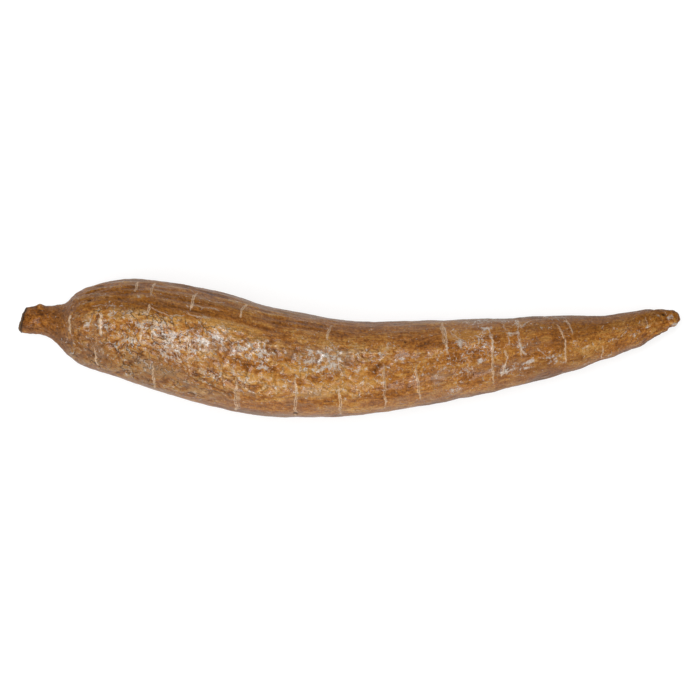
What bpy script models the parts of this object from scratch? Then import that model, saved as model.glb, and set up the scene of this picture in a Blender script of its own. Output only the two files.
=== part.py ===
"""One whole fresh cassava root lying on its side on a table.

+X runs from the cut stalk end to the tip, +Y is the side that the neck and the tip curve towards,
and +Z is up. The origin is under the middle of the root, on the table.
"""

import math

import bmesh
import bpy

MM = 0.001

# Overall sizes
ROOT_LENGTH = 331.5 * MM  # cut face to tip, in a straight line
BODY_DIAMETER = 56.4 * MM  # at the thickest place
BEND = 24.6 * MM  # how far the middle line swings sideways
FLATTENING = 0.97  # height of a ring over its width

# Neck: the stub of the stalk that the root hung from
NECK_LENGTH = 24.0 * MM  # cut face to the foot of the shoulder
NECK_DIAMETER = 14.2 * MM
CUT_DIAMETER = 12.0 * MM
CUT_ROUNDING = 1.4 * MM  # radius of the cut face's rim
CUT_SLANT = 17.0  # degrees that the cut leans back on the +Y side
NUB_HEIGHT = 1.6 * MM  # a bud scar on the neck
NUB_WIDTH = 3.2 * MM
NUB_PLACE = 10.8 * MM  # from the cut face
NUB_ANGLE = 15.0  # degrees above the +Y side

# Tip: the thin root end, broken off blunt
TIP_DIAMETER = 10.0 * MM
TIP_ROUNDING = 6.0 * MM  # length over which the blunt end closes

# Furrow: a shallow valley along the body, above its +Y side
FURROW_DEPTH = 0.9 * MM
FURROW_WIDTH = 11.0 * MM
FURROW_ANGLE = 50.0  # degrees above the +Y side

# Lobes: low swellings that wind slowly round the body, so that no ring is quite round
LOBE_HEIGHT = 0.45 * MM
LOBES = 3
LOBE_TWIST = 110.0  # degrees from the neck to the tip

# Rest: how deep the underside is pressed flat where the root lies
REST_DEPTH = 0.7 * MM

# Rings of the mesh
RING_POINTS = 44
CAP_RINGS = 3
NECK_RINGS = 13
BODY_RINGS = 60
TIP_RINGS = 7
SHOULDER_CROWDING = 1.4  # over 1 brings the body's rings closer together at the shoulder

# The body from the foot of the shoulder to the start of the tip's rounding. Each entry is a share of
# that length, then how full the ring is on its +Y and its -Y side: 0 is the neck's or the tip's own
# radius, whichever end is nearer, and 1 is the thickest place.
BODY_OUTLINE = (
    (0.000, 0.16, 0.34),
    (0.006, 0.27, 0.39),
    (0.014, 0.43, 0.49),
    (0.031, 0.60, 0.61),
    (0.056, 0.73, 0.70),
    (0.089, 0.84, 0.81),
    (0.122, 0.90, 0.90),
    (0.188, 0.98, 0.99),
    (0.245, 1.00, 1.00),
    (0.321, 0.95, 0.99),
    (0.387, 0.90, 0.91),
    (0.487, 0.79, 0.80),
    (0.620, 0.66, 0.68),
    (0.752, 0.50, 0.52),
    (0.819, 0.40, 0.44),
    (0.885, 0.25, 0.29),
    (0.951, 0.14, 0.17),
    (1.000, 0.00, 0.00),
)
THICKEST_PLACE = max(BODY_OUTLINE, key=lambda row: row[1])[0]

# The middle line: share of the root's length, share of the bend, and height over the body's.
MIDDLE_LINE = (
    (0.00, 0.965, 0.85),
    (0.04, 0.953, 0.87),
    (0.08, 0.860, 0.90),
    (0.13, 0.807, 0.93),
    (0.20, 0.685, 0.99),
    (0.30, 0.374, 1.01),
    (0.38, 0.144, 0.98),
    (0.46, 0.030, 0.89),
    (0.52, 0.000, 0.84),
    (0.59, 0.073, 0.80),
    (0.68, 0.207, 0.74),
    (0.76, 0.352, 0.69),
    (0.85, 0.547, 0.61),
    (0.91, 0.697, 0.56),
    (0.96, 0.905, 0.53),
    (1.00, 1.000, 0.51),
)


def smooth(points, place):
    """The values at a place on the smooth curve through points, whose first number is the place."""
    last = len(points) - 2
    start = max(i for i in range(last + 1) if i == 0 or points[i][0] <= place)
    step = points[start + 1][0] - points[start][0]
    u = min(max((place - points[start][0]) / step, 0.0), 1.0)
    values = []
    for column in range(1, len(points[0])):
        here, there = points[start][column], points[start + 1][column]
        leaving = slope_at(points, start, column) * step
        arriving = slope_at(points, start + 1, column) * step
        values.append(
            here * (1 + 2 * u) * (1 - u) ** 2
            + leaving * u * (1 - u) ** 2
            + there * u * u * (3 - 2 * u)
            + arriving * u * u * (u - 1)
        )
    return values


def slope_at(points, index, column):
    before = points[max(index - 1, 0)]
    after = points[min(index + 1, len(points) - 1)]
    return (after[column] - before[column]) / (after[0] - before[0])


def middle(x):
    """Sideways place and height of the middle line at x from the cut face."""
    sideways, height = smooth(MIDDLE_LINE, x / ROOT_LENGTH)
    return sideways * BEND, height * FLATTENING * BODY_DIAMETER / 2


def body_radii(share):
    """Radius on the +Y and the -Y side at a share of the body's length."""
    end_radius = (NECK_DIAMETER if share < THICKEST_PLACE else TIP_DIAMETER) / 2
    return [end_radius + (BODY_DIAMETER / 2 - end_radius) * full for full in smooth(BODY_OUTLINE, share)]


def radii(x):
    """Radius on the +Y and the -Y side at x from the cut face."""
    body_length = ROOT_LENGTH - NECK_LENGTH - TIP_ROUNDING
    if x < NECK_LENGTH / 2:
        filled = math.sin(math.pi * x / NECK_LENGTH)
        radius = (CUT_DIAMETER + (NECK_DIAMETER - CUT_DIAMETER) * filled) / 2
        return [radius, radius]
    if x < NECK_LENGTH:
        flare = (2 * x / NECK_LENGTH - 1) ** 2
        return [NECK_DIAMETER / 2 * (1 - flare) + foot * flare for foot in body_radii(0.0)]
    if x < NECK_LENGTH + body_length:
        return body_radii((x - NECK_LENGTH) / body_length)
    closed = (x - NECK_LENGTH - body_length) / TIP_ROUNDING
    radius = TIP_DIAMETER / 2 * math.sqrt(max(1 - closed * closed, 0.0))
    return [radius, radius]


def bump(distance, width):
    return math.exp(-((2 * distance / width) ** 2))


def ring(x, inset=0.0):
    """The points of the ring at x. Angle 0 is the +Y side and 90 degrees is the top."""
    sideways, height = middle(x)
    ahead = min(x + MM, ROOT_LENGTH)
    behind = max(x - MM, 0.0)
    lean = math.atan((middle(ahead)[0] - middle(behind)[0]) / (ahead - behind))
    plus, minus = [radius - inset for radius in radii(x)]
    upright = (plus + minus) / 2
    in_body = min(max((x - NECK_LENGTH) / NECK_LENGTH, 0.0), 1.0) * (1 - x / ROOT_LENGTH)
    slanted = max(1 - 2 * x / NECK_LENGTH, 0.0) * math.tan(math.radians(CUT_SLANT))
    twist = math.radians(LOBE_TWIST) * x / ROOT_LENGTH
    points = []
    for i in range(RING_POINTS):
        angle = 2 * math.pi * i / RING_POINTS
        from_furrow = math.remainder(angle - math.radians(FURROW_ANGLE), 2 * math.pi) * upright
        from_nub = math.remainder(angle - math.radians(NUB_ANGLE), 2 * math.pi) * upright
        raised = NUB_HEIGHT * bump(math.hypot(from_nub, x - NUB_PLACE), NUB_WIDTH)
        raised -= FURROW_DEPTH * in_body * bump(from_furrow, FURROW_WIDTH)
        raised += LOBE_HEIGHT * in_body * math.cos(LOBES * (angle - twist))
        side = plus if math.cos(angle) > 0 else minus
        y = (side + raised) * math.cos(angle) / math.cos(lean)
        z = (upright + raised) * math.sin(angle) * FLATTENING
        points.append((x + slanted * (y + CUT_DIAMETER / 2), sideways + y, height + z))
    return points


def all_rings():
    """Every ring from the cut face to the tip."""
    rings = []
    for i in range(CAP_RINGS):
        turn = math.pi / 2 * i / CAP_RINGS
        rings.append(ring(CUT_ROUNDING * (1 - math.cos(turn)), inset=CUT_ROUNDING * (1 - math.sin(turn))))
    for i in range(NECK_RINGS):
        rings.append(ring(CUT_ROUNDING + (NECK_LENGTH - CUT_ROUNDING) * i / NECK_RINGS))
    body_length = ROOT_LENGTH - NECK_LENGTH - TIP_ROUNDING
    for i in range(BODY_RINGS):
        rings.append(ring(NECK_LENGTH + body_length * (i / BODY_RINGS) ** SHOULDER_CROWDING))
    for i in range(TIP_RINGS):
        rings.append(ring(ROOT_LENGTH - TIP_ROUNDING * (1 - math.sin(math.pi / 2 * i / TIP_RINGS))))
    return rings


def close_end(mesh, loop, x, outwards):
    """A fan from a ring to one point at x on the middle line."""
    sideways, height = middle(x)
    slanted = math.tan(math.radians(CUT_SLANT)) * CUT_DIAMETER / 2 if x == 0 else 0.0
    point = mesh.verts.new((x + slanted, sideways, height))
    for i in range(RING_POINTS):
        corners = [loop[i], loop[(i + 1) % RING_POINTS], point]
        mesh.faces.new(corners if outwards else corners[::-1])


def settle(mesh):
    """Press the underside flat on the table and put the origin under the middle."""
    lowest = min(v.co.z for v in mesh.verts)
    middle_x = (min(v.co.x for v in mesh.verts) + max(v.co.x for v in mesh.verts)) / 2
    middle_y = (min(v.co.y for v in mesh.verts) + max(v.co.y for v in mesh.verts)) / 2
    for v in mesh.verts:
        v.co.x -= middle_x
        v.co.y -= middle_y
        v.co.z = max(v.co.z - lowest - REST_DEPTH, 0.0)


def bark_material():
    """Waxed brown cassava bark."""
    material = bpy.data.materials.new("bark")
    material.use_nodes = True
    shader = material.node_tree.nodes["Principled BSDF"]
    shader.inputs["Base Color"].default_value = (0.31, 0.14, 0.04, 1.0)
    shader.inputs["Roughness"].default_value = 0.45
    shader.inputs["Metallic"].default_value = 0.0
    return material


def cassava_root():
    """The whole root: one grown piece, from the cut neck to the broken tip."""
    mesh = bmesh.new()
    loops = [[mesh.verts.new(point) for point in points] for points in all_rings()]
    for before, after in zip(loops, loops[1:]):
        for i in range(RING_POINTS):
            j = (i + 1) % RING_POINTS
            mesh.faces.new((before[i], before[j], after[j], after[i]))
    close_end(mesh, loops[0], 0.0, outwards=False)
    close_end(mesh, loops[-1], ROOT_LENGTH, outwards=True)
    settle(mesh)
    bmesh.ops.recalc_face_normals(mesh, faces=mesh.faces)
    data = bpy.data.meshes.new("cassava_root")
    mesh.to_mesh(data)
    mesh.free()
    data.shade_smooth()
    data.materials.append(bark_material())
    root = bpy.data.objects.new("cassava_root", data)
    bpy.context.scene.collection.objects.link(root)


for leftover in list(bpy.data.objects):
    bpy.data.objects.remove(leftover)
cassava_root()
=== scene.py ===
import math

import bpy
import numpy as np
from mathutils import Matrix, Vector
from mathutils.bvhtree import BVHTree


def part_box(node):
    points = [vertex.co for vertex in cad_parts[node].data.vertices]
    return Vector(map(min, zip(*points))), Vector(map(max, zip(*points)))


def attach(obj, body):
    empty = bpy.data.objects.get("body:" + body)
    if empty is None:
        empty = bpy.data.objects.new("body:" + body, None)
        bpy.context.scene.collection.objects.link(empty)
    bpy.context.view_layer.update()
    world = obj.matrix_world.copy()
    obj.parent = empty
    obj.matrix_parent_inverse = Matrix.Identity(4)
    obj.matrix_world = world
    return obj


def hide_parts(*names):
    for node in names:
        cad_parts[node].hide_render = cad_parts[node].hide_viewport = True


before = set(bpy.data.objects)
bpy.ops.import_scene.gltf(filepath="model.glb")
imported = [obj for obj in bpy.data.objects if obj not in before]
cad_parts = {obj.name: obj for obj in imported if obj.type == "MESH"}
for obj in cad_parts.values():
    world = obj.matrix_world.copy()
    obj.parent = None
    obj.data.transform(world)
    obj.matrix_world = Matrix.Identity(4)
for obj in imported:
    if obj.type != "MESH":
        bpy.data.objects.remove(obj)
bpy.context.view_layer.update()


# ---- The root's body ----
# A cassava root is one swollen piece: a cut neck, a steep shoulder, a thick body and a long tail.
# Its skin is laid out as rings of points from the neck's cut face to the tip, on the CAD solid.
MM = 0.001
RINGS_ALONG = 492
POINTS_ROUND = 188
CUT_CAP_RINGS = 20
TIP_CAP_RINGS = 14
CUT_CAP_DEPTH = 7.0  # mm from the cut face to where its rays start
TIP_CAP_DEPTH = 6.0
FACET_ALONG = 2.2  # rings over which the CAD's facets are smoothed out
FACET_ROUND = 3.0  # points round, for the same
COARSE_PLACES = 170  # where the middle of the solid is looked for
MIDDLE_BLUR = 3.0  # of those places
END_CROWDING = 1.6  # how much closer the rings stand where the root swells or tapers fast
CENTRING_TURNS = 4  # tries at each place to find the middle

cad_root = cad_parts["cassava_root"]
solid = BVHTree.FromPolygons(
    [v.co for v in cad_root.data.vertices], [list(p.vertices) for p in cad_root.data.polygons]
)
lowest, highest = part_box("cassava_root")
angles = np.radians(-90 + 360 * np.arange(POINTS_ROUND) / POINTS_ROUND)  # 0 is +Y, 90 is the top


def reach(start, direction):
    """How far the solid's skin is from a point inside it."""
    return (solid.ray_cast(start, direction)[0] - start).length


def middle_line(places):
    """The middle of the solid at each place along X, found from its four sides."""
    found = []
    middle = Vector((places[0], (lowest.y + highest.y) / 2, (lowest.z + highest.z) / 2))
    middle.y += (highest.y - lowest.y) / 5  # the neck stands on the +Y side of the root's box
    for x in places:
        middle.x = x
        for _ in range(CENTRING_TURNS):
            side = reach(middle, Vector((0, 1, 0))) - reach(middle, Vector((0, -1, 0)))
            middle.y += side / 2
            rise = reach(middle, Vector((0, 0, 1))) - reach(middle, Vector((0, 0, -1)))
            middle.z += rise / 2
        found.append(middle.copy())
    return np.array(found)


def blurred(values, rings, points=0.0):
    """A field on the skin averaged over that many rings and points round."""
    for width, axis, wraps in ((rings, 0, False), (points, 1, True)):
        if not width:
            continue
        span = int(3 * width) + 1  # a bell curve is flat by three of its widths
        weights = np.exp(-0.5 * (np.arange(-span, span + 1) / width) ** 2)
        weights /= weights.sum()
        padding = [(0, 0)] * values.ndim
        padding[axis] = (span, span)
        padded = np.pad(values, padding, mode="wrap" if wraps else "edge")
        size = values.shape[axis]
        values = sum(w * np.take(padded, np.arange(k, k + size), axis) for k, w in enumerate(weights))
    return values


first = lowest.x + CUT_CAP_DEPTH * MM
last = highest.x - TIP_CAP_DEPTH * MM
coarse = np.linspace(first, last, COARSE_PLACES)
coarse_middle = middle_line(coarse)
coarse_middle[:, 1:] = blurred(coarse_middle[:, 1:], MIDDLE_BLUR)
coarse_radius = np.array([reach(Vector(m), Vector((0, 0, 1))) for m in coarse_middle])
run = np.hypot(np.gradient(coarse), END_CROWDING * np.gradient(coarse_radius))
run = np.insert(np.cumsum((run[1:] + run[:-1]) / 2), 0, 0.0)
ring_x = np.interp(np.linspace(0, run[-1], RINGS_ALONG), run, coarse)

# Each ring's points are found by rays from the middle line; at both ends the rays fan out to close the cap.
starts = []
directions = []
cut_middle, tip_middle = coarse_middle[0], coarse_middle[-1]
for k in range(CUT_CAP_RINGS):
    turn = math.radians(90) * (k + 1) / (CUT_CAP_RINGS + 1)
    starts.append(cut_middle)
    directions.append((-math.cos(turn), math.sin(turn)))
for x in ring_x:
    y, z = (np.interp(x, coarse, coarse_middle[:, axis]) for axis in (1, 2))
    starts.append(np.array((x, y, z)))
    directions.append((0.0, 1.0))
for k in range(TIP_CAP_RINGS):
    turn = math.radians(90) * (TIP_CAP_RINGS - k) / (TIP_CAP_RINGS + 1)
    starts.append(tip_middle)
    directions.append((math.cos(turn), math.sin(turn)))
starts = np.array(starts)
directions = np.array(
    [[(ahead, out * math.cos(a), out * math.sin(a)) for a in angles] for ahead, out in directions]
)
distances = np.array(
    [[reach(Vector(s), Vector(d)) for d in ring] for s, ring in zip(starts, directions)]
)
distances = blurred(distances, FACET_ALONG, FACET_ROUND)
skin = starts[:, None, :] + distances[:, :, None] * directions

# Places on the skin, in millimetres: along from the cut face, and straightened to a round bar.
straight = (skin - starts[:, None, :] * (0, 1, 1)) / MM
straight[:, :, 0] -= lowest.x / MM
along = straight[:, :, 0]
angle_round = np.broadcast_to(np.degrees(angles), along.shape)
radius = np.hypot(straight[:, :, 1], straight[:, :, 2])
root_length = (highest.x - lowest.x) / MM

across = np.roll(skin, -1, axis=1) - np.roll(skin, 1, axis=1)
down = np.gradient(skin, axis=0)
normals = np.cross(across, down)
normals /= np.linalg.norm(normals, axis=2, keepdims=True)
normals *= np.sign((normals * directions).sum(axis=2).mean())


# ---- The bark's relief ----
# The bark is a thin brown skin of cork, crumpled like paper as the root swelled. It has long low ropes
# that run down the root, a folded crown with creases a few millimetres apart, and small lumps all over.
LATTICE = 64  # cells on a side before the noise repeats
grain = np.random.default_rng(7)
lattice = grain.normal(size=(LATTICE, LATTICE, LATTICE, 3))
lattice /= np.linalg.norm(lattice, axis=3, keepdims=True)


def noise(grain_mm, shift=0.0):
    """Smooth noise from about -1 to 1 over the skin.

    Its grains have this size in mm, along, across and up; each shift gives another pattern.
    """
    places = (straight / grain_mm + shift).reshape(-1, 3)
    cell = np.floor(places).astype(int)
    part = places - cell
    fade = part**3 * (part * (part * 6 - 15) + 10)
    total = np.zeros(len(places))
    for corner in np.ndindex(2, 2, 2):
        at = (cell + corner) % LATTICE
        weight = np.prod(np.where(corner, fade, 1 - fade), axis=1)
        slope = lattice[at[:, 0], at[:, 1], at[:, 2]]
        total += weight * ((part - corner) * slope).sum(axis=1)
    return 1.7 * total.reshape(along.shape)


def step(low, high, values):
    """0 below low, 1 above high and smooth between."""
    share = np.clip((values - low) / (high - low), 0, 1)
    return share * share * (3 - 2 * share)


def near(centre, width, values):
    """1 at the centre and falling off smoothly over the width."""
    return np.exp(-(((values - centre) / width) ** 2))


NECK_END = 20  # mm along, where the neck starts to swell into the shoulder
BODY_START = 34  # mm along, where the shoulder has become the body
on_body = step(NECK_END, BODY_START, along) * step(root_length, root_length - 25, along)
on_neck = 1 - step(NECK_END, 30, along)
on_tip = step(root_length - 26, root_length - 10, along)
upper_flank = near(32, 34, angle_round)
lower_flank = near(205, 34, angle_round % 360)

# Low swellings and shallow dips that a thumb would feel. Each dip is on the +Y flank: mm deep, mm along,
# mm long, degrees round, degrees wide.
DIPS = [
    (1.1, 22, 8, 5, 40),
    (0.8, 79, 12, 0, 35),
    (0.4, 153, 16, 0, 35),
    (0.5, 246, 7, 0, 35),
    (1.0, 37, 20, 5, 45),
]
BROAD_SWELLING = 0.22  # mm, about 26 mm across
SWELLING = 0.20  # mm, about 12 mm across
TAIL_KNOBS = 0.75  # mm, on the tail's -Y flank
swelling = BROAD_SWELLING * noise((46, 26, 26)) + SWELLING * noise((19, 12, 12), 5.3)
for depth, place, length, turned, width in DIPS:
    swelling -= depth * near(place, length, along) * near(turned, width, angle_round)
swelling += TAIL_KNOBS * step(195, 225, along) * near(178, 50, angle_round) * noise((9, 16, 16), 6.1)

# Ropes: the long cords of fibre under the skin, about 2.4 mm across. They stand out most on the flanks.
UPPER_ROPES = 0.85  # mm
LOWER_ROPES = 0.35
EVEN_ROPES = 0.08
BROAD_ROPES = 0.10
LOWER_STRANDS = 0.7  # how well the ropes show in colour on the lower flank
rope_height = EVEN_ROPES + UPPER_ROPES * upper_flank * step(190, 80, along) + LOWER_ROPES * lower_flank
ropes = rope_height * noise((26, 2.4, 2.4), 11.7)
ropes += BROAD_ROPES * noise((22, 6.5, 6.5), 3.1)
roped = near(20, 26, angle_round) * step(22, 40, along) * step(330, 200, along)
roped = np.maximum(roped, LOWER_STRANDS * near(200, 30, angle_round % 360) * step(22, 40, along))

# The crumpled crown: on top of the body the skin has folded like paper, with folds 4.6 mm and 2.6 mm
# across. It is patchy, ends sooner on the tail, and a weaker one runs along the underside.
FOLDS = (0.06, 0.46)  # mm high all over, and as much more on the crown
FINE_FOLDS = (0.05, 0.22)
GRIT = (0.05, 0.05)
FOLD_SHARPNESS = 2.4
UNDERSIDE_CROWN = 0.5
bend = 0.9 * noise((9.0, 6.0, 6.0), 21.0)[:, :, None]
creases = 1 - FOLD_SHARPNESS * np.abs(noise((8.0, 4.6, 4.6), bend + 2.7))
fine_creases = 1 - FOLD_SHARPNESS * np.abs(noise((4.0, 2.6, 2.6), 1.4 * bend + 8.9))
patchy = step(-0.5, 0.6, noise((30, 14, 14), 31.0)) * step(310, 120, along)
patchy = np.maximum(patchy, near(48, 18, along))
crown_end = 128 + 30 * step(130, 80, along)  # degrees round
crown = step(56, 72, angle_round) * step(crown_end + 18, crown_end - 12, angle_round)
crown = crown * step(22, 30, along) * step(208, 155, along)
underside = step(182, 200, angle_round) * step(268, 240, angle_round)
crown = np.maximum(crown, UNDERSIDE_CROWN * underside)
crown_share = crown * (0.4 + 0.6 * patchy)
crumple = (FOLDS[0] + FOLDS[1] * crown_share) * creases
crumple += (FINE_FOLDS[0] + FINE_FOLDS[1] * crown_share) * fine_creases
crumple += (GRIT[0] + GRIT[1] * crown) * noise((2.2, 1.9, 1.9), 41.0)
folds_shade_and_glint = crown * (0.3 + 0.7 * step(140, 85, along))  # the folds' painted shade and glints fade before their relief does

LUMPS = 0.34  # mm, about 6 mm across
SMALL_LUMPS = 0.16  # mm, about 3 mm across
LUMPS_WORN = 0.6  # share of the lumps left under the wax
lumps = LUMPS * noise((9.0, 6.0, 6.0), 17.0) + SMALL_LUMPS * noise((3.8, 3.0, 3.0), 19.0)

relief = on_body * (swelling + ropes + lumps * LUMPS_WORN) + crumple


# ---- The scars across the bark ----
# Where the skin breathed it cracked crosswise, and healed with a pale corky lip raised on each side of
# the crack. A strong scar has healed into one broad ridge.
SCAR_WIDTH = 0.6  # mm, half of a lip
SCAR_GAP = 0.42  # mm from the crack to a lip, at mid length
STRONG_GAP = 0.3  # share of that left in a strong scar
SCAR_HEIGHT = 0.18
SCAR_TAPER = 0.12  # share of its length, at each end
SCAR_SHOWS = (3.2, 1.8)  # mm from the crack: all gone, and all there
HIDDEN_SCARS = 34
# Each is: mm from the cut face, degrees round at its two ends, lean in mm, strength.
SCARS = [
    (27.0, 68, 104, 0.5, 1.4),
    (42.5, 70, 104, 0.0, 1.5),
    (40.0, 118, 150, -1.5, 1.2),
    (60.0, 20, 42, 1.0, 1.0),
    (68.0, 19, 46, 2.0, 1.0),
    (66.2, 54, 71, 1.5, 0.9),
    (63.0, 75, 103, 2.0, 1.3),
    (68.8, 74, 95, 1.5, 1.2),
    (88.3, 24, 55, 3.5, 0.9),
    (86.5, 78, 109, 2.0, 1.0),
    (68.5, 122, 162, -1.0, 0.9),
    (113.0, 20, 48, 3.0, 0.9),
    (109.3, 118, 168, 0.5, 1.0),
    (111.0, 124, 160, 0.5, 0.5),
    (155.2, 30, 57, 2.0, 0.9),
    (138.6, 104, 170, 0.0, 1.0),
    (140.6, 74, 96, 0.0, 0.4),
    (160.6, 112, 166, -1.0, 1.0),
    (182.6, 82, 156, -1.0, 1.0),
    (199.3, 86, 155, -3.5, 0.9),
    (212.6, 16, 84, -3.0, 1.0),
    (211.2, 30, 66, -2.0, 0.6),
    (236.3, 50, 150, -1.0, 1.0),
    (250.1, 60, 100, -1.0, 0.7),
    (243.1, 84, 101, -2.0, 0.8),
    (242.0, 98, 134, 3.0, 0.8),
    (270.4, 42, 80, -3.5, 0.9),
    (272.8, 76, 136, -0.5, 0.9),
    (274.8, 22, 73, -3.5, 0.8),
    (291.3, 108, 160, 0.5, 0.8),
]
# More on the sides that face the table, spread along the root.
hidden = np.random.default_rng(23)
for k in range(HIDDEN_SCARS):
    place = 30 + (root_length - 62) * (k + hidden.uniform(0.1, 0.9)) / HIDDEN_SCARS
    start = hidden.uniform(182, 330)
    end = start + hidden.uniform(18, 62)
    lean = hidden.uniform(-3, 3)
    SCARS.append((place, start, end, lean, hidden.uniform(0.5, 1)))

FAR_OFF = 9.0  # mm, for a place with no line near it
scar_offset = np.full(along.shape, FAR_OFF)  # mm to the nearest scar's own line, signed
scar_gap = np.zeros(along.shape)  # mm from that line to each of its two lips
scar_fade = np.zeros(along.shape)
wander = 0.8 * noise((60, 5.0, 5.0), 51.0) + 0.14 * noise((60, 1.6, 1.6), 52.0)  # mm off a straight line
for place, start, end, lean, strength in SCARS:
    share = ((angle_round - start) % 360) / (end - start)
    offset = (along - place + lean * (share - 0.5) + wander) / max(strength, 1)
    ends = step(0.0, SCAR_TAPER, share) * step(1.0, 1 - SCAR_TAPER, share) * strength
    nearer = (np.abs(offset) < np.abs(scar_offset)) & (ends > 0)
    scar_offset = np.where(nearer, offset, scar_offset)
    parted = SCAR_GAP * (strength if strength <= 1 else STRONG_GAP) * np.sin(np.pi * np.clip(share, 0, 1))
    parted = parted * (1 - 0.5 * step(225, 245, along))  # the tail's scars are thinner
    scar_gap = np.where(nearer, parted, scar_gap)
    scar_fade = np.where(nearer, ends * step(*SCAR_SHOWS, np.abs(offset)), scar_fade)
broken = 0.55 + 0.45 * step(-0.35, 0.15, noise((40, 4.0, 4.0), 61.0))
scar_fade = scar_fade * broken
lip = near(scar_gap, SCAR_WIDTH, np.abs(scar_offset)) * scar_fade
relief += SCAR_HEIGHT * lip


# ---- The pits in the bark ----
# Here and there the bark was pierced or rubbed through as the root was dug and packed. Each is a small
# dark hollow: mm along, degrees round, mm across.
PIT_DEPTH = 0.8  # mm
PITS = [
    (36.5, 50, 1.0),
    (41.5, 151, 0.9),
    (92.0, 47, 0.7),
    (138.5, 158, 1.6),
    (193.0, 58, 0.7),
    (322.5, 48, 1.2),
    (326.0, 172, 1.5),
    (118.0, 240, 1.3),
    (205.0, 300, 1.1),
    (64.0, 275, 1.2),
]


def degrees_from(turned):
    """How far round each place is from there, the short way."""
    return (angle_round - turned + 180) % 360 - 180


pits = np.zeros(along.shape)
ragged_edge = 0.3 * noise((1.5, 1.5, 1.5), 63.0)
for place, turned, size in PITS:
    distance = np.hypot(along - place, radius * np.radians(degrees_from(turned))) + ragged_edge
    pits = np.maximum(pits, step(size, 0.25 * size, distance))
relief -= PIT_DEPTH * pits


# ---- The neck ----
# The stub of stalk that the root hung from, sawn off blunt. Its bark is rougher, the cut has dried
# dark at its ragged rim, and a bud scar stands on its +Y side.
NECK_BUMPS = 0.26  # mm
NECK_GRIT = 0.14
BUD_HEIGHT = 0.7
RIM_HEIGHT = 0.25
RIM_RAGGED = 0.5
SAW_MARKS = 0.16
neck_bumps = NECK_BUMPS * noise((4.5, 2.6, 2.6), 71.0) + NECK_GRIT * noise((2.0, 1.4, 1.4), 73.0)
relief += on_neck * neck_bumps
bud = near(10.8, 1.5, along) * near(15, 14, angle_round)
relief += BUD_HEIGHT * bud
facing_back = -normals[:, :, 0]  # 1 where the skin faces straight out of the cut
cut_face = step(0.45, 0.75, facing_back) * step(12, 8, along)
rim = near(0.5, 0.16, facing_back) * step(8, 4, along)
relief += rim * (RIM_HEIGHT + RIM_RAGGED * noise((1.6, 1.2, 1.2), 77.0))
relief += cut_face * SAW_MARKS * noise((1.2, 1.2, 1.2), 79.0)


# ---- The tip ----
# The thin root that went on from here has snapped off. The end is blunt and knobbly, with torn bark.
TIP_KNOBS = 0.55  # mm
TIP_GRIT = 0.35
TIP_TEARS = 0.5
TIP_WEAR = 1.0
tip_bumps = TIP_KNOBS * noise((4.2, 3.2, 3.2), 81.0) + TIP_GRIT * noise((1.9, 1.6, 1.6), 83.0)
tip_bumps += TIP_TEARS * near(150, 60, angle_round) * noise((3.2, 3.2, 3.2), 85.0)
relief += on_tip * tip_bumps * step(root_length + 2, root_length - 4, along)
tip_worn = TIP_WEAR * step(root_length - 15, root_length - 2, along)
tip_worn = tip_worn * step(0.1, 1, -np.cos(np.radians(angle_round)))


# ---- The wax ----
# The root was dipped in clear food wax, so the film has no edge. It is thin and satin over most of the
# bark, milky where it lies thick, and broken into white creases where the bark bent under it. Over the top
# of the body painted highlights are laid in with the milky wax.
PATCH_EDGE = 1.4  # how soon a patch thins out towards its edge
# Each patch of milky wax and painted highlight is: mm along, degrees round, mm long, degrees wide,
# strength.
MILKY_WAX_AND_HIGHLIGHTS = [
    (77, 86, 9, 13, 0.85),
    (72, 102, 10, 10, 0.5),
    (95, 83, 9, 6, 1.0),
    (89, 97, 3, 6, 1.0),
    (117, 84, 12, 12, 1.15),
    (100, 76, 8, 8, 0.7),
    (119, 97, 9, 4, 1.0),
    (152, 80, 16, 22, 0.8),
    (50, 72, 8, 6, 0.5),
    (36, 88, 2.5, 5, 0.8),
    (45, 88, 2, 9, 0.9),
    (46, 60, 4, 4, 0.8),
    (61, 84, 7, 10, 0.5),
    (183, 72, 15, 20, 0.35),
    (220, 64, 5, 12, 0.8),
    (225, 24, 5, 14, 0.9),
    (232, 40, 6, 14, 1.0),
    (229, 58, 4, 6, 1.0),
    (230.5, 97, 2.5, 8, 1.2),
    (246, 56, 4, 5, 1.1),
    (254, 109, 5, 9, 1.2),
    (253, 124, 4, 7, 1.0),
    (266, 115, 8, 17, 1.0),
    (242, 124, 4, 6, 1.0),
    (217, 140, 6, 10, 1.0),
    (224, 136, 8, 14, 0.6),
    (260, 47, 4, 6, 0.8),
    (276, 87, 3, 6, 1.1),
    (271, 131, 4, 5, 0.9),
    (281, 98, 9, 16, 0.45),
    (312, 95, 5, 9, 0.7),
    (307, 112, 8, 20, 0.6),
    (324.5, 63, 4, 22, 1.1),
    (328, 128, 3.5, 40, 1.1),
    (299, 90, 8, 20, 0.5),
    (51, 112, 6, 8, 0.7),
    (215, 240, 30, 40, 0.6),
    (120, 285, 40, 30, 0.7),
    (60, 210, 20, 30, 0.6),
]
milky_wax_and_highlight = np.zeros(along.shape)
for place, turned, length, width, strength in MILKY_WAX_AND_HIGHLIGHTS:
    patch = near(place, length / PATCH_EDGE, along) * near(0, width / PATCH_EDGE, degrees_from(turned))
    milky_wax_and_highlight = np.maximum(milky_wax_and_highlight, strength * patch)
milky_wax_and_highlight *= step(-0.55, 0.25, noise((6, 3, 3), 91.0))

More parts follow.
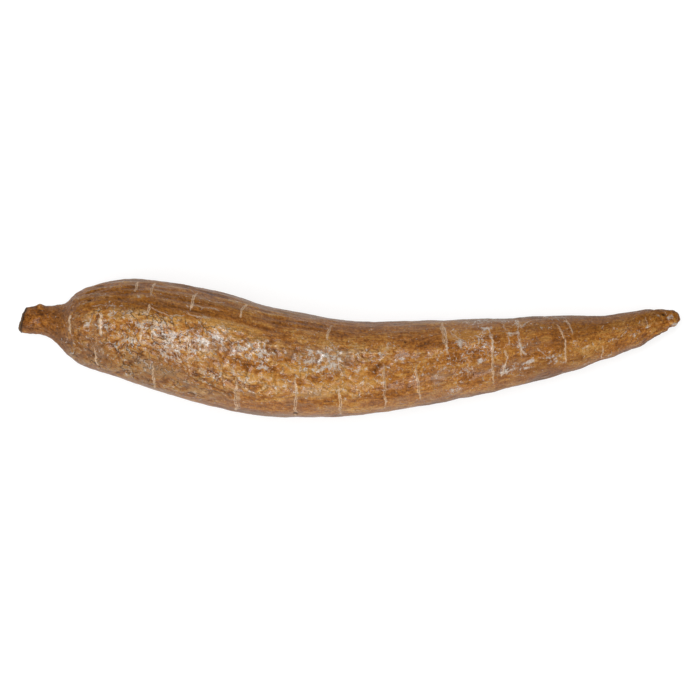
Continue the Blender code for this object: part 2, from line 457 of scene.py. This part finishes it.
# The larger creases in the film. Each is a strength and a route of points, mm along and degrees round.
CREASE_HEIGHT = 0.12  # mm
CREASE_WIDTH = 0.7
CREASE_SHOWS = (2.6, 1.6)  # mm from the crease: all gone, and all there
HIDDEN_CREASES = 30
WAX_CREASES = [
    (0.5, [(33, 34), (41, 42), (48, 48)]),
    (0.5, [(38, 60), (44, 61), (50, 62)]),
    (0.9, [(67, 57), (70, 61), (72, 64), (78, 65), (84, 62)]),
    (0.7, [(88, 46), (94, 46), (101, 44)]),
    (0.6, [(86, 58), (92, 60), (97, 57)]),
    (0.5, [(91, 34), (98, 35), (104, 32)]),
    (0.4, [(39, 4), (48, 12), (58, 20)]),
    (0.6, [(69, 88), (75, 92), (80, 97), (84, 108)]),
    (0.6, [(66, 92), (73, 97), (79, 103), (83, 112)]),
    (0.5, [(63, 98), (69, 103), (75, 109)]),
    (0.6, [(70, 105), (76, 108), (82, 113)]),
    (0.7, [(212, 35), (213.5, 60), (214, 80)]),
    (0.8, [(217.5, 39), (215.5, 45), (219.5, 57), (223, 71), (226, 72), (224, 76)]),
    (0.6, [(218, 60), (221, 73)]),
    (0.7, [(227, 54), (231, 62)]),
    (1.1, [(234, 40), (235, 52), (236, 65), (237, 80)]),
    (0.5, [(241, 28), (243, 49)]),
    (0.8, [(255, 29), (250.5, 46), (249, 24)]),
    (0.7, [(248.5, 52), (244, 60), (245, 78)]),
    (1.2, [(248, 22), (249, 42), (249.5, 73), (250.5, 90), (253, 98)]),
    (0.7, [(242.5, 86), (244, 97), (242.5, 117), (240.5, 129), (245, 121), (249, 118)]),
    (0.8, [(258.5, 89), (260, 97), (263.5, 106)]),
    (0.6, [(247, 135), (252.5, 140)]),
    (0.5, [(222.5, 87), (225.5, 97)]),
    (0.5, [(222, 107), (224.5, 110), (224, 118)]),
    (0.5, [(272.5, 30), (276.5, 66)]),
    (0.4, [(313, 54), (314.5, 83)]),
]
for k in range(HIDDEN_CREASES):
    place = 35 + (root_length - 70) * (k + hidden.uniform(0.1, 0.9)) / HIDDEN_CREASES
    turned = hidden.uniform(175, 345)
    route = [(place, turned)]
    for _ in range(3):
        place += hidden.uniform(-1.5, 4.5)
        turned += hidden.uniform(-14, 14)
        route.append((place, turned))
    WAX_CREASES.append((hidden.uniform(0.4, 0.9), route))

crease_offset = np.full(along.shape, FAR_OFF)  # mm to the nearest crease, signed
crease_fade = np.zeros(along.shape)
kinks = 0.8 * noise((3.4, 3.0, 3.0), 53.0) + 0.4 * noise((1.6, 1.5, 1.5), 54.0)
for strength, route in WAX_CREASES:
    for (place, turned), (next_place, next_turned) in zip(route[:-1], route[1:]):
        run_along = next_place - place
        run_round = radius * math.radians(next_turned - turned)
        length = np.hypot(run_along, run_round)
        off_along = along - place
        off_round = radius * np.radians(degrees_from(turned))
        share = (off_along * run_along + off_round * run_round) / length**2
        offset = (off_round * run_along - off_along * run_round) / length + kinks
        ends = step(-0.12, 0.08, share) * step(1.12, 0.92, share)
        nearer = (np.abs(offset) < np.abs(crease_offset)) & (ends > 0)
        crease_offset = np.where(nearer, offset, crease_offset)
        shown = strength * ends * step(*CREASE_SHOWS, np.abs(offset))
        crease_fade = np.where(nearer, shown, crease_fade)
crease_fade = crease_fade * (0.6 + 0.4 * step(-0.25, 0.25, noise((4, 4, 4), 55.0)))
relief += CREASE_HEIGHT * near(0.0, CREASE_WIDTH, crease_offset) * crease_fade

# A thinner grey veil of wax dulls the bark along the flanks and hides less of the tail. It is thicker in
# a few patches: strength, mm along, mm long, degrees round, degrees wide.
VALLEY_BARE = 0.85  # how much less of it there is in the stained and shaded valley
VEIL_PATCHES = [
    (0.5, 142, 24, 66, 20),
    (0.7, 230, 18, 14, 14),
    (0.5, 222, 8, 150, 16),
]
veil = 0.15 + 0.9 * noise((24, 11, 11), 93.0) + 0.4 * noise((9, 5, 5), 94.0)
veil += 0.45 * near(10, 20, angle_round) - 0.25 * step(180, 290, along)
for strength, place, length, turned, width in VEIL_PATCHES:
    veil += strength * near(place, length, along) * near(turned, width, angle_round)
veil = np.clip(veil, 0, 1)
veil *= 1 - VALLEY_BARE * step(20, 34, angle_round) * step(72, 60, angle_round)
veil *= step(16, 52, along)

# Painted sheen along the top of the body, where the overhead light falls, and a little more wax on the
# underside.
top_sheen_and_wax = near(96, 34, (angle_round + 90) % 360 - 90) * step(16, 40, along) * step(330, 190, along)
top_sheen_and_wax = np.clip(top_sheen_and_wax + 0.35 * step(180, 215, angle_round % 360), 0, 1)

# On the tail the wax has crazed into thin white creases.
crazed = step(206, 222, along) * step(284, 262, along) * step(140, 110, angle_round)
crazed = crazed * step(-0.2, 0.4, noise((14, 8, 8), 98.0))


# ---- The bark's tones ----
# Waxed bark keeps the tone of what lies under the film: smooth pale scales, a stain left by wet soil, and
# grey brown soil that was never quite washed off. The stain and the soil also carry painted shade.
# Each scale of paler bark is: mm along, degrees round, mm long, degrees wide.
OCHRE = [
    (36, 80, 5, 9),
    (50, 72, 9, 14),
    (61, 69, 6, 10),
    (58, 97, 6, 6),
    (80, 66, 12, 9),
    (74, 128, 14, 10),
    (222, 50, 17, 12),
    (104, 64, 17, 14),
    (97, 103, 13, 14),
    (116, 60, 10, 9),
    (125, 112, 18, 12),
    (140, 95, 16, 10),
    (263, 75, 4, 10),
    (150, 118, 16, 18),
    (172, 108, 18, 20),
    (85, 225, 20, 18),
    (150, 260, 25, 25),
    (230, 215, 16, 25),
]
ochre = np.zeros(along.shape)
ochre_edge = 0.5 * noise((7, 4, 4), 92.0)
for place, turned, length, width in OCHRE:
    off_middle = ((along - place) / length) ** 2 + (degrees_from(turned) / width) ** 2
    ochre = np.maximum(ochre, step(0.9, 0.15, off_middle + ochre_edge))

# A long valley on the upper flank, where the bark is a deep orange brown: a stain, and painted shade along
# the flank. Its edge beside the crown is sharp over the body, and the stain is faint at the bend and wide
# and soft over the tail. So that edge in degrees round, the stain's strength, the edge's softness and the
# other edge change along.
edge_noise = 5 * noise((40, 12, 12), 95.0) + 3 * noise((7, 3, 3), 96.0)
valley_edge = np.interp(
    along,
    (20, 85, 105, 135, 200, 226, 262, 300, 331),
    (66, 63, 54, 48, 44, 34, 60, 84, 70),
)
valley_depth = np.interp(
    along,
    (20, 110, 140, 200, 222, 250, 272, 312),
    (1, 0.8, 0.45, 0.75, 0.25, 0.6, 1.15, 1.1),
)
valley_soft = np.interp(along, (100, 190, 280), (3, 7, 16))
valley_start = np.interp(along, (215, 250), (27, 18))
VALLEY_START_SOFT = 7  # degrees
turned_in = angle_round + edge_noise
valley = step(valley_start - VALLEY_START_SOFT, valley_start + VALLEY_START_SOFT, turned_in)
valley = valley * step(valley_edge + valley_soft, valley_edge - valley_soft, turned_in)
valley = valley * valley_depth * step(14, BODY_START, along)

# Blots of the same stain on top of the tail, and a band of it round the shoulder.
TAIL_BLOTS = 0.6
SHOULDER_BAND = 0.4
facing_up = np.sin(np.radians(angle_round))
mottled = step(0.0, 0.6, noise((10, 6, 6), 57.0)) * step(236, 256, along) * step(322, 304, along)
valley = np.maximum(valley, TAIL_BLOTS * mottled * step(-0.3, 0.2, facing_up))
valley = np.maximum(valley, SHOULDER_BAND * near(24, 9, along))
stain_and_shade = np.clip(valley * (0.85 + 0.4 * noise((12, 6, 6), 97.0)), 0, 1)

# Soil and painted shade darken both sides and the underside, in patches. Painted shade darkens the flank
# below the shoulder, the shoulder itself and the tail's lower flank.
UNDERSIDE_SOIL_AND_SHADE = 0.5
BODY_FLANK_SHADE = 0.55
SHOULDER_SHADE = 0.25
TAIL_FLANK_SHADE = 0.4
from_side = np.minimum(np.abs(angle_round), np.abs(angle_round - 180))
soil_and_shade_patches = np.maximum(step(-0.35, 0.45, noise((24, 10, 10), 33.0)), step(-0.25, 0.05, facing_up))
soil_and_shade = step(32, 4, from_side + 1.3 * edge_noise) * (0.65 + 0.35 * step(190, 230, along))
soil_and_shade = np.maximum(soil_and_shade, UNDERSIDE_SOIL_AND_SHADE * step(-0.1, -0.6, facing_up))
soil_and_shade *= 0.25 + 0.75 * soil_and_shade_patches
soil_and_shade = np.maximum(soil_and_shade, BODY_FLANK_SHADE * step(92, 128, angle_round) * step(130, 60, along))
soil_and_shade = np.maximum(soil_and_shade, SHOULDER_SHADE * near(24, 8, along))
tail_flank = step(98, 140, angle_round) * step(225, 262, along) * step(305, 278, along)
soil_and_shade = np.maximum(soil_and_shade, TAIL_FLANK_SHADE * tail_flank)
soil_and_shade = np.clip(soil_and_shade * (0.9 + 0.45 * noise((14, 6, 6), 99.0)), 0, 1)


# ---- The skin's mesh ----
# The bark and the wax on it are one unbroken skin, so one closed mesh shows both: the rings of points and
# a point at each end. It never sinks below the table.
TABLE_GAP = 0.1 * MM
skin = skin + normals * ((relief - relief.mean()) * MM)[:, :, None]
skin[:, :, 1] += tip_worn * MM  # the tip is worn away on its -Y side
skin[:, :, 2] = np.maximum(skin[:, :, 2], lowest.z + TABLE_GAP)
rings, points_round = along.shape
poles = np.array([skin[0].mean(axis=0), skin[-1].mean(axis=0)])
vertices = np.vstack([skin.reshape(-1, 3), poles])

index = np.arange(rings * points_round).reshape(rings, points_round)
after = np.roll(index, -1, axis=1)
quads = np.stack([index[:-1], index[1:], after[1:], after[:-1]], axis=-1).reshape(-1, 4)
cut_fan = np.stack([index[0], after[0], np.full(points_round, len(vertices) - 2)], axis=-1)
tip_fan = np.stack([after[-1], index[-1], np.full(points_round, len(vertices) - 1)], axis=-1)

mesh = bpy.data.meshes.new("root_skin")
mesh.from_pydata(vertices.tolist(), [], quads.tolist() + cut_fan.tolist() + tip_fan.tolist())
mesh.update()

# The unrolled skin: along the root by its true length, and once round from the underside.
CAP_SHARE = 0.004  # of the unrolled length, for the fan at each end
steps = np.linalg.norm(np.diff(skin, axis=0), axis=2).mean(axis=1)
travel = np.insert(np.cumsum(steps), 0, 0.0)
unrolled_u = CAP_SHARE + (1 - 2 * CAP_SHARE) * travel / travel[-1]
u, v = [], []
column = np.arange(points_round)
for low_u, high_u in zip(unrolled_u[:-1], unrolled_u[1:]):
    u.append(np.broadcast_to((low_u, high_u, high_u, low_u), (points_round, 4)))
    v.append(np.stack([column, column, column + 1, column + 1], axis=-1) / points_round)
u = np.concatenate(u).ravel()
v = np.concatenate(v).ravel()
cut_u = np.tile((unrolled_u[0], unrolled_u[0], 0.0), points_round)
cut_v = (np.stack([column, column + 1, column + 0.5], axis=-1) / points_round).ravel()
tip_u = np.tile((unrolled_u[-1], unrolled_u[-1], 1.0), points_round)
tip_v = (np.stack([column + 1, column, column + 0.5], axis=-1) / points_round).ravel()
unrolled = np.stack([np.concatenate([u, cut_u, tip_u]), np.concatenate([v, cut_v, tip_v])], axis=-1)
uv = mesh.uv_layers.new(name="OFBake")
uv.data.foreach_set("uv", unrolled.astype(np.float32).ravel())

# What the bark's material needs to know of each point of the skin.
HOLLOW_RINGS = 5.0  # how far round a point its height is compared with
HOLLOW_POINTS = 4.0
TIP_BARE = 0.8  # how much of the wax has worn off the tip
skin_fields = {
    # Painted shade and light: below zero in the relief's hollows, above zero on its crests.
    "relief_shading": relief - blurred(relief, HOLLOW_RINGS, HOLLOW_POINTS),
    "scar_offset": scar_offset,
    "scar_gap": scar_gap,
    "scar_fade": scar_fade,
    "crease_offset": crease_offset,
    "crease_fade": crease_fade,
    "milky_wax_and_highlight": milky_wax_and_highlight,
    "top_sheen_and_wax": top_sheen_and_wax,
    "veil": veil,
    "stain_and_shade": stain_and_shade,
    "soil_and_shade": soil_and_shade,
    "ochre": ochre,
    "crazed": crazed,
    "crown": folds_shade_and_glint,
    "roped": roped,
    "pits": pits,
    "cut_face": cut_face,
    "rim": rim,
    "neck": on_neck,
    "tip": TIP_BARE * on_tip,
}
for name, values in {"bark_place": straight, **skin_fields}.items():
    kind, key = ("FLOAT_VECTOR", "vector") if values.ndim == 3 else ("FLOAT", "value")
    rows = values.reshape(rings, points_round, -1)
    ends = np.stack([rows[0].mean(axis=0), rows[-1].mean(axis=0)])
    rows = np.vstack([rows.reshape(rings * points_round, -1), ends])
    layer = mesh.attributes.new(name, kind, "POINT")
    layer.data.foreach_set(key, rows.astype(np.float32).ravel())
mesh.shade_smooth()

root = bpy.data.objects.new("root_skin", mesh)
bpy.context.scene.collection.objects.link(root)


# ---- The waxed bark's material ----
# Cassava bark, corky and brown, under a thin film of clear food wax. To the eye it is a warm, mottled
# orange brown with pale ridges, dark creases, milky wax and a soft satin shine.
def hex_colour(text):
    """An sRGB hex colour as linear RGBA."""
    parts = [int(text[i : i + 2], 16) / 255 for i in (1, 3, 5)]
    return (*(p / 12.92 if p <= 0.04045 else ((p + 0.055) / 1.055) ** 2.4 for p in parts), 1.0)


bark = bpy.data.materials.new("waxed_cassava_bark")
bark.use_nodes = True
tree = bark.node_tree
tree.nodes.clear()


def add(kind, inputs=(), output=0, stops=(), **settings):
    """Adds a node with its settings, constants, links and ramp stops, and gives its output."""
    made = tree.nodes.new(kind)
    for name, value in settings.items():
        setattr(made, name, value)
    for socket, value in dict(inputs).items():
        if isinstance(value, bpy.types.NodeSocket):
            tree.links.new(value, made.inputs[socket])
        else:
            made.inputs[socket].default_value = value
    for k, (stop, colour) in enumerate(stops):
        ramp = made.color_ramp.elements
        element = ramp[k] if k < 2 else ramp.new(stop)
        element.position = stop
        element.color = hex_colour(colour)
    return made.outputs[output] if made.outputs else made


# The numbers 0, 1 and 2 are a Math node's own inputs. These name the inputs of the other nodes.
LOW, HIGH, AT_LOW, AT_HIGH = "From Min", "From Max", "To Min", "To Max"
SHARE = 0  # of a Mix node
UNDER_NUMBER, OVER_NUMBER = 2, 3
UNDER, OVER = 6, 7
MIXED_COLOUR = 2  # its output

place = add("ShaderNodeAttribute", output="Vector", attribute_name="bark_place")
fields = {name: add("ShaderNodeAttribute", output="Fac", attribute_name=name) for name in skin_fields}

# The bark's grain runs along the root, so its patterns are drawn out that way, and bent a little.
BEND_SIZE = 3.0  # mm
BEND_BY = 2.2
stretched = add("ShaderNodeMapping", {"Vector": place, "Scale": (0.35, 1.0, 1.0)})
fibres = add("ShaderNodeMapping", {"Vector": place, "Scale": (0.14, 1.0, 1.0)})
drawn_out = add("ShaderNodeMapping", {"Vector": place, "Scale": (0.06, 1.0, 1.0)})
bent = add("ShaderNodeTexNoise", {"Vector": place, "Scale": 1 / BEND_SIZE, "Detail": 3.0}, "Color")
bent = add("ShaderNodeVectorMath", {0: bent, "Scale": BEND_BY}, operation="SCALE")
warped = add("ShaderNodeVectorMath", {0: stretched, 1: bent}, operation="ADD")
crinkled = add("ShaderNodeVectorMath", {0: place, 1: bent}, operation="ADD")

# Each pattern's size across the root in mm, its detail, roughness and twist. Fibres are about 0.2 mm thick
# and grains of cork about 0.5 mm, too fine to show, so both are drawn coarser than real.
grains = {}
for name, laid_on, size, detail, roughness, twist in (
    ("blotch", stretched, 12.0, 3.0, 0.5, 0.0),  # patches of darker and paler bark
    ("mottle", stretched, 2.4, 5.0, 0.65, 0.6),  # the papery outer layer, worn thin in places
    ("speck", place, 1.3, 4.0, 0.65, 0.0),  # grains of cork
    ("streak", fibres, 0.7, 3.0, 0.6, 0.0),  # single fibres
    ("strand", drawn_out, 1.9, 3.0, 0.6, 0.0),  # bundles of fibres
    ("scale", crinkled, 5.0, 2.0, 0.55, 0.3),  # overlapping scales of bark
    ("veil", warped, 1.8, 4.0, 0.65, 0.0),  # thin wax
    ("milk_and_highlight", crinkled, 1.9, 4.0, 0.68, 0.0),  # thick wax and painted highlights
):
    looks = {"Vector": laid_on, "Scale": 1 / size, "Detail": detail, "Roughness": roughness}
    grains[name] = add("ShaderNodeTexNoise", {**looks, "Distortion": twist}, "Fac")

FLAKE_SIZE = 1.5  # mm
flakes = {"Vector": warped, "Scale": 1 / FLAKE_SIZE}
flake_edge = add("ShaderNodeTexVoronoi", flakes, "Distance", feature="DISTANCE_TO_EDGE")
flake_edge = add("ShaderNodeMapRange", {"Value": flake_edge, HIGH: 0.16})
flake = add("ShaderNodeTexVoronoi", flakes, "Color", feature="F1")
flake_tone = add("ShaderNodeSeparateColor", {"Color": flake}, "Red")


def crease_lines(apart, width, level=0.5):
    """Thin wandering lines, a few of these millimetres apart: 1 on a line and 0 off it."""
    looks = {"Vector": crinkled, "Scale": 1 / apart, "Detail": 2.0, "Roughness": 0.6}
    field = add("ShaderNodeTexNoise", looks, "Fac")
    off_line = add("ShaderNodeMath", {0: field, 1: -level}, operation="ADD")
    off_line = add("ShaderNodeMath", {0: off_line}, operation="ABSOLUTE")
    return add("ShaderNodeMapRange", {"Value": off_line, HIGH: width, AT_LOW: 1.0, AT_HIGH: 0.0})


# Fine creases run all over. On the crown there are deep crevices too, darkened with painted shade and soil,
# each with a painted glint beside it.
long_creases = crease_lines(3.6, 0.026)
short_creases = crease_lines(1.5, 0.06)
crinkle = add("ShaderNodeMath", {0: short_creases, 1: 0.6, 2: long_creases}, operation="MULTIPLY_ADD")
crown_share = add("ShaderNodeMath", {0: fields["crown"], 1: 0.75, 2: 0.25}, operation="MULTIPLY_ADD")
folded = add("ShaderNodeMapRange", {"Value": grains["blotch"], LOW: 0.4, HIGH: 0.54, AT_LOW: 0.4})
folded = add("ShaderNodeMath", {0: folded, 1: crown_share}, operation="MULTIPLY")
crevice = add("ShaderNodeMath", {0: crease_lines(6.0, 0.028), 1: folded}, operation="MULTIPLY")
# Painted glint: a pale line beside each crevice, where its lip would catch the light.
painted_glint = add("ShaderNodeMath", {0: crease_lines(6.0, 0.018, 0.53), 1: folded}, operation="MULTIPLY")

# The scales lie over each other like shingles: each rises slowly and ends in a sharp edge.
SCALES_DEEP = 5.0  # how many lie over each other from the lowest to the highest
scales = add("ShaderNodeMath", {0: grains["scale"], 1: SCALES_DEEP}, operation="MULTIPLY")
scales = add("ShaderNodeMath", {0: scales}, operation="FRACT")
scales = add("ShaderNodeMath", {0: scales, 1: crown_share}, operation="MULTIPLY")

# The bare bark's tone, from 0 in the darkest creases to 1 on the palest cork.
tone = -0.65
for pattern, weight in (
    (grains["mottle"], 0.42),
    (scales, 0.16),
    (grains["blotch"], 0.60),
    (grains["speck"], 0.75),
    (grains["streak"], 0.42),
    (flake_tone, 0.08),
    # painted shade in the relief's low places, paler on its high ones
    (fields["relief_shading"], 0.42),
    (fields["neck"], -0.12),
):
    tone = add("ShaderNodeMath", {0: pattern, 1: weight, 2: tone}, operation="MULTIPLY_ADD")
OCHRE_TONE = 0.75
ochre = add("ShaderNodeMath", {0: fields["ochre"], 1: 0.5}, operation="MULTIPLY")
tone = add("ShaderNodeMix", {SHARE: ochre, UNDER_NUMBER: tone, OVER_NUMBER: OCHRE_TONE})
bark_colour = add(
    "ShaderNodeValToRGB",
    {0: tone},
    stops=((0.20, "#552D08"), (0.36, "#874E15"), (0.52, "#A96A27"), (0.68, "#C18B43"), (0.86, "#CFA878")),
)

# The stain and the soil, with the painted shade they carry, are grainy, and each has a darker and a paler
# tone.
stain_and_shade_tone = add("ShaderNodeMapRange", {"Value": grains["speck"], LOW: 0.35, HIGH: 0.65})
soil_and_shade_tone = add("ShaderNodeMapRange", {"Value": grains["mottle"], LOW: 0.36, HIGH: 0.64})
grainy = add("ShaderNodeMath", {0: grains["streak"], 1: 0.5, 2: grains["speck"]}, operation="MULTIPLY_ADD")
grainy = add("ShaderNodeMapRange", {"Value": grainy, LOW: 0.6, HIGH: 0.9, AT_LOW: 0.55})
soil_and_shade_share = add("ShaderNodeMath", {0: fields["soil_and_shade"], 1: grainy}, operation="MULTIPLY")
two_toned = []
for share, dark, pale in (
    (stain_and_shade_tone, "#6B3A06", "#9C6218"),
    (soil_and_shade_tone, "#553C2A", "#7D5C44"),
    (grains["speck"], "#4A2E18", "#94714C"),
):
    tones = {SHARE: share, UNDER: hex_colour(dark), OVER: hex_colour(pale)}
    two_toned.append(add("ShaderNodeMix", tones, MIXED_COLOUR, data_type="RGBA"))
stain_and_shade_colour, soil_and_shade_colour, cut_wood = two_toned

# Bundles of fibre show through along the flanks, rubbed pale and painted with highlight where they are
# high, and dark between with painted shade.
rubbed_strand_highlight = add("ShaderNodeMapRange", {"Value": grains["strand"], LOW: 0.54, HIGH: 0.66, AT_HIGH: 0.6})
rubbed_strand_highlight = add("ShaderNodeMath", {0: rubbed_strand_highlight, 1: fields["roped"]}, operation="MULTIPLY")
strand_shade = add("ShaderNodeMapRange", {"Value": grains["strand"], LOW: 0.46, HIGH: 0.34, AT_HIGH: 0.5})
strand_shade = add("ShaderNodeMath", {0: strand_shade, 1: fields["roped"]}, operation="MULTIPLY")

# The wax: a thin grey veil, and milky where it lies thick and in the crazed creases. The milky layer also
# holds painted highlights: a sheen on top of the body, pale lines on the fine creases and the relief's
# crests, and glints beside the crevices.
veil = add("ShaderNodeMath", {0: fields["veil"], 1: 0.35, 2: grains["veil"]}, operation="MULTIPLY_ADD")
veil = add("ShaderNodeMapRange", {"Value": veil, LOW: 0.54, HIGH: 0.84, AT_HIGH: 0.55})
crazing = add("ShaderNodeMath", {0: crinkle, 1: fields["crazed"]}, operation="MULTIPLY")
milk_and_highlight = grains["milk_and_highlight"]
for pattern, weight in (
    # milky wax and painted highlights
    (fields["milky_wax_and_highlight"], 0.29),
    # painted sheen on top of the body, and wax on the underside
    (fields["top_sheen_and_wax"], 0.07),
    # painted glints along the fine creases
    (crinkle, 0.09),
    (crazing, 0.22),
    # painted glints beside the crevices
    (painted_glint, 0.20),
    (scales, 0.04),
    # painted highlight on the relief's crests
    (fields["relief_shading"], 0.16),
):
    milk_and_highlight = add("ShaderNodeMath", {0: pattern, 1: weight, 2: milk_and_highlight}, operation="MULTIPLY_ADD")
milk_and_highlight = add("ShaderNodeMapRange", {"Value": milk_and_highlight, LOW: 0.67, HIGH: 0.83, AT_HIGH: 0.8})


def line_mask(distance, half_width, fade):
    """1 where this distance is 0, falling to 0 over the half width, and only where the line lasts."""
    mark = add("ShaderNodeMapRange", {"Value": distance, HIGH: half_width, AT_LOW: 1.0, AT_HIGH: 0.0})
    return add("ShaderNodeMath", {0: mark, 1: fade}, operation="MULTIPLY")


def off_ragged_line(offset, raggedness):
    """How far a place is from a line whose edge the cork's grain has made ragged, in mm."""
    ragged = {0: grains["speck"], 1: 2 * raggedness, 2: -raggedness}
    ragged = add("ShaderNodeMath", ragged, operation="MULTIPLY_ADD")
    ragged = add("ShaderNodeMath", {0: offset, 1: ragged}, operation="ADD")
    return add("ShaderNodeMath", {0: ragged}, operation="ABSOLUTE")


# Each scar is a dark crack between two pale lips, and each crease in the wax one pale line. Sizes in mm.
CRACK_WIDTH = 0.5
LIP_WIDTH = 0.37
CREASE_LINE = 0.48
from_crack = off_ragged_line(fields["scar_offset"], 1.0)
from_lip = add("ShaderNodeMath", {0: from_crack, 1: fields["scar_gap"]}, operation="SUBTRACT")
from_lip = add("ShaderNodeMath", {0: from_lip}, operation="ABSOLUTE")
crack = line_mask(from_crack, CRACK_WIDTH, fields["scar_fade"])
lips = line_mask(from_lip, LIP_WIDTH, fields["scar_fade"])
crease = line_mask(off_ragged_line(fields["crease_offset"], 0.8), CREASE_LINE, fields["crease_fade"])
broken_up = add("ShaderNodeMapRange", {"Value": grains["milk_and_highlight"], LOW: 0.35, HIGH: 0.6, AT_LOW: 0.45})
crease = add("ShaderNodeMath", {0: crease, 1: broken_up}, operation="MULTIPLY")

# All that lies over the bare bark, from the bottom up: where it lies, how strongly, and its colour.
colour = bark_colour
for share, strength, over in (
    (crevice, 0.85, "#5E3A18"),  # painted shade and soil in the crown's crevices
    # stain and painted shade along the upper flank
    (fields["stain_and_shade"], 0.8, stain_and_shade_colour),
    # rubbed fibres with painted highlight
    (rubbed_strand_highlight, 1, "#A48B74"),
    # painted shade between the fibres
    (strand_shade, 1, "#5A3613"),
    # soil and painted shade
    (soil_and_shade_share, 1, soil_and_shade_colour),
    (veil, 1, "#97795F"),
    # milky wax and painted highlights
    (milk_and_highlight, 1, "#CFC5BA"),
    (crack, 0.75, "#5A3413"),
    (lips, 1, "#DDBC9A"),
    (crease, 1, "#D6C9BA"),
    (fields["pits"], 1, "#3A220E"),
    (fields["cut_face"], 1, cut_wood),
    (fields["rim"], 1, "#1E1611"),  # bark dried black round the cut
):
    if strength < 1:
        share = add("ShaderNodeMath", {0: share, 1: strength}, operation="MULTIPLY")
    over = hex_colour(over) if isinstance(over, str) else over
    tones = {SHARE: share, UNDER: colour, OVER: over}
    colour = add("ShaderNodeMix", tones, MIXED_COLOUR, data_type="RGBA")

# Where there is soil and painted shade on the wax, or no wax at all, the skin is dull.
unwaxed = add("ShaderNodeMath", {0: fields["soil_and_shade"], 1: 0.6}, operation="MULTIPLY")
dull_neck = add("ShaderNodeMath", {0: fields["neck"], 1: 0.6}, operation="MULTIPLY")
for bare in (fields["cut_face"], fields["rim"], fields["tip"], dull_neck):
    unwaxed = add("ShaderNodeMath", {0: unwaxed, 1: bare}, operation="MAXIMUM")
smears = {"Value": grains["mottle"], LOW: 0.3, HIGH: 0.7, AT_LOW: 0.4, AT_HIGH: 0.64}
rough = add("ShaderNodeMapRange", smears)
rough = add("ShaderNodeMath", {0: unwaxed, 1: 0.3, 2: rough}, operation="MULTIPLY_ADD")
waxed = add("ShaderNodeMath", {0: unwaxed, 1: -0.9, 2: 1.0}, operation="MULTIPLY_ADD")
sheen = add("ShaderNodeMapRange", {"Value": milk_and_highlight, HIGH: 0.5, AT_LOW: 0.4, AT_HIGH: 0.75})
sheen = add("ShaderNodeMath", {0: sheen, 1: waxed}, operation="MULTIPLY")

# The relief too fine for the mesh, as shares of its full height.
FINE_RELIEF = 1.5 * MM
height = 0.0
for pattern, weight in (
    (grains["speck"], 0.55),
    (grains["streak"], 0.30),
    (grains["mottle"], 1.10),
    (grains["milk_and_highlight"], 0.70),
    (crinkle, 0.14),
    (flake_edge, 0.12),
    (scales, 0.25),
    (crevice, -0.5),
):
    height = add("ShaderNodeMath", {0: pattern, 1: weight, 2: height}, operation="MULTIPLY_ADD")
bump = add("ShaderNodeBump", {"Height": height, "Strength": 1.0, "Distance": FINE_RELIEF})

# Corky bark shines little by itself; the shine is the wax's, whose IOR is 1.44.
shader = add(
    "ShaderNodeBsdfPrincipled",
    {
        "Base Color": colour,
        "Roughness": rough,
        "Normal": bump,
        "IOR": 1.44,
        "Specular IOR Level": 0.15,
        "Coat Weight": sheen,
        "Coat Roughness": 0.16,
        "Coat IOR": 1.44,
    },
)
add("ShaderNodeOutputMaterial", {"Surface": shader})
mesh.materials.append(bark)

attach(root, "root")
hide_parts("cassava_root")


# ---- The table ----
# A sheet of plain white matt paper on a flat table. It has a painted glow of its own, which is no lamp, so
# that it stays white and the root's shadow stays faint.
TABLE_HALF = 3.0  # metres
table_mesh = bpy.data.meshes.new("table_top")
corners = [(x * TABLE_HALF, y * TABLE_HALF, 0) for x, y in ((-1, -1), (1, -1), (1, 1), (-1, 1))]
table_mesh.from_pydata(corners, [], [(0, 1, 2, 3)])
table = bpy.data.objects.new("table_top", table_mesh)
table.location.z = lowest.z
bpy.context.scene.collection.objects.link(table)
paper = bpy.data.materials.new("white_paper")
paper.use_nodes = True
paper_inputs = paper.node_tree.nodes["Principled BSDF"].inputs
paper_inputs["Base Color"].default_value = hex_colour("#8C8C8C")
paper_inputs["Roughness"].default_value = 0.9
paper_inputs["Emission Color"].default_value = hex_colour("#FFFFFF")
paper_inputs["Emission Strength"].default_value = 0.75
table_mesh.materials.append(paper)


# ---- The light and the camera ----
# Two long softboxes, one overhead and a weaker fill in front, in a white room. The camera looks straight
# down on the root through a long lens, and its frame is a little wider than the root.
AIM = Vector((0, 0, 0.02))  # metres, about the middle of the root


def soft_light(name, place, size, watts):
    """A rectangular softbox that faces the root, its place and size in metres."""
    data = bpy.data.lights.new(name, "AREA")
    data.shape = "RECTANGLE"
    data.size, data.size_y = size
    data.energy = watts
    lamp = bpy.data.objects.new(name, data)
    lamp.location = place
    lamp.rotation_euler = (AIM - Vector(place)).to_track_quat("-Z", "Y").to_euler()
    bpy.context.scene.collection.objects.link(lamp)


soft_light("overhead_light", (-0.15, 0.12, 1.1), (1.2, 0.3), 12.0)
soft_light("front_fill", (0.0, -1.1, 0.9), (1.0, 0.5), 10.0)
ROOM_LIGHT = 0.25
sky = bpy.data.worlds.new("studio")
sky.use_nodes = True
sky.node_tree.nodes["Background"].inputs["Color"].default_value = hex_colour("#FFFFFF")
sky.node_tree.nodes["Background"].inputs["Strength"].default_value = ROOM_LIGHT
bpy.context.scene.world = sky
bpy.context.scene.view_settings.view_transform = "Standard"

FRAME_WIDTH = 348.6 * MM  # of the table seen, at the height of the root's middle
FRAME_MIDDLE_Y = -1.1 * MM
camera_data = bpy.data.cameras.new("camera")
camera_data.lens = 200.0
camera_data.sensor_width = 36.0
camera = bpy.data.objects.new("camera", camera_data)
middle_height = (lowest.z + highest.z) / 2
camera_height = middle_height + FRAME_WIDTH * camera_data.lens / camera_data.sensor_width
camera.location = (0.0, FRAME_MIDDLE_Y, camera_height)
camera.rotation_euler = (0.0, 0.0, 0.0)
bpy.context.scene.collection.objects.link(camera)
bpy.context.scene.camera = camera
